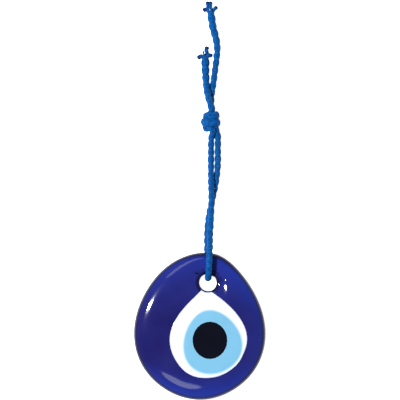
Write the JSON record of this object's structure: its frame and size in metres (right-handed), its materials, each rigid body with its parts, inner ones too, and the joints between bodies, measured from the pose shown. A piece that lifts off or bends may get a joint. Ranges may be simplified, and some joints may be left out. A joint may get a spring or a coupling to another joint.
{
  "type": "evil eye ornament",
  "caption": "Pressed glass drop with a fused white, light blue and dark eye, hung on a knotted loop of braided cord.",
  "frame": {"origin": "under the middle of the glass, on the surface that the ornament lies on", "axes": "+Z out of the eye's face, +Y from the eye to the knot and the cord's tails, +X to the right as seen from the front"},
  "size_m": [0.07, 0.2118, 0.0154],
  "materials": {
    "cobalt_glass": "glossy, fire polished",
    "white_glass": "glossy, opal",
    "light_blue_glass": "glossy, opal",
    "dark_glass": "glossy",
    "braided_cord": "braided synthetic string",
    "melted_string": "string with a melted, darkened tip"
  },
  "bodies": {
    "glass": {"cobalt_glass_body": "cobalt_glass", "white_glass_drop": "white_glass", "light_blue_glass_drop": "light_blue_glass", "dark_glass_pupil": "dark_glass"},
    "cord_loop": {"cord_bight": "braided_cord", "front_leg_lower": "braided_cord", "back_leg_lower": "braided_cord"},
    "cord_top": {"front_leg_upper": "braided_cord", "back_leg_upper": "braided_cord", "cord_knot": "braided_cord", "short_tail_root": "braided_cord", "long_tail_root": "braided_cord"},
    "short_tail": {"short_tail": "braided_cord", "short_tail_string_left": "melted_string", "short_tail_string_up": "melted_string", "short_tail_string_long": "melted_string", "short_tail_string_right": "melted_string"},
    "long_tail": {"long_tail": "braided_cord", "long_tail_string_left": "melted_string", "long_tail_string_right": "melted_string", "long_tail_string_top_left": "melted_string", "long_tail_string_top_right": "melted_string"}
  },
  "joints": [
    {"name": "loop_swivel", "type": "hinge", "parent": "glass", "child": "cord_loop", "pos_m": [0.0044, 0.0232, 0.007], "axis": [0, 0, 1], "range_deg": [-30, 30]},
    {"name": "loop_lift", "type": "hinge", "parent": "cord_loop", "child": "cord_top", "pos_m": [0.0077, 0.084, 0.0041], "axis": [1, 0, 0], "range_deg": [0, 90]},
    {"name": "short_tail_swing", "type": "hinge", "parent": "cord_top", "child": "short_tail", "pos_m": [0.0018, 0.128, 0.002], "axis": [0, 0, 1], "range_deg": [0, 40]},
    {"name": "long_tail_swing", "type": "hinge", "parent": "cord_top", "child": "long_tail", "pos_m": [0.0088, 0.128, 0.0016], "axis": [0, 0, 1], "range_deg": [-40, 0]}
  ]
}
